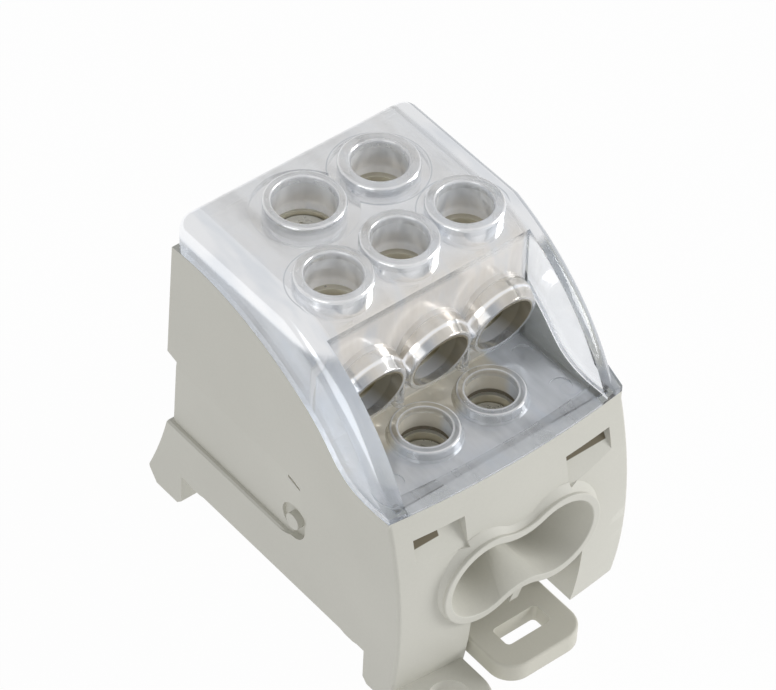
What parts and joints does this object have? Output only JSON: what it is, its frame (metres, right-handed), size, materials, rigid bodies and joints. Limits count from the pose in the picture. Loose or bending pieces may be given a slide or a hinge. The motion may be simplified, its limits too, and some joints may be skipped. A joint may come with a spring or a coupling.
{
  "type": "power distribution block",
  "caption": "Compact power distribution block for a mounting rail: grey housing with screw ears and sliding latch, stepped clear cover, wire bores with clamp screws.",
  "frame": {"origin": "on the mounting plane, midway between the two fixing holes and on the rail's centre line", "axes": "+X across the block along the rail, +Y from the output side to the supply side, +Z away from the rail"},
  "size_m": [0.036, 0.0668, 0.0505],
  "materials": {
    "housing_plastic": "fine satin",
    "latch_plastic": "fine satin",
    "clear_plastic": "polished clear",
    "plated_metal": "satin tin plating",
    "screw_steel": "plated, turned"
  },
  "bodies": {
    "base": {"housing": "housing_plastic", "conductor_block": "plated_metal", "clear_cover": "clear_plastic"},
    "rail_latch": {"rail_latch": "latch_plastic"},
    "upper_screw_left": {"upper_screw_left": "screw_steel"},
    "upper_screw_middle": {"upper_screw_middle": "screw_steel"},
    "upper_screw_right": {"upper_screw_right": "screw_steel"},
    "lower_screw_left": {"lower_screw_left": "screw_steel"},
    "lower_screw_right": {"lower_screw_right": "screw_steel"},
    "supply_screw_large": {"supply_screw_large": "screw_steel"},
    "supply_screw_small": {"supply_screw_small": "screw_steel"}
  },
  "joints": [
    {"name": "rail_latch_slide", "type": "slide", "parent": "base", "child": "rail_latch", "axis": [0, -1, 0], "range_m": [0, 0.0025]},
    {"name": "upper_screw_left_drive", "type": "slide", "parent": "base", "child": "upper_screw_left", "axis": [0, 0, -1], "range_m": [0, 0.003]},
    {"name": "upper_screw_middle_drive", "type": "slide", "parent": "base", "child": "upper_screw_middle", "axis": [0, 0, -1], "range_m": [0, 0.003]},
    {"name": "upper_screw_right_drive", "type": "slide", "parent": "base", "child": "upper_screw_right", "axis": [0, 0, -1], "range_m": [0, 0.003]},
    {"name": "lower_screw_left_drive", "type": "slide", "parent": "base", "child": "lower_screw_left", "axis": [0, 0, -1], "range_m": [0, 0.0047]},
    {"name": "lower_screw_right_drive", "type": "slide", "parent": "base", "child": "lower_screw_right", "axis": [0, 0, -1], "range_m": [0, 0.0047]},
    {"name": "supply_screw_large_drive", "type": "slide", "parent": "base", "child": "supply_screw_large", "axis": [0, 0, -1], "range_m": [0, 0.0049]},
    {"name": "supply_screw_small_drive", "type": "slide", "parent": "base", "child": "supply_screw_small", "axis": [0, 0, -1], "range_m": [0, 0.004]}
  ]
}
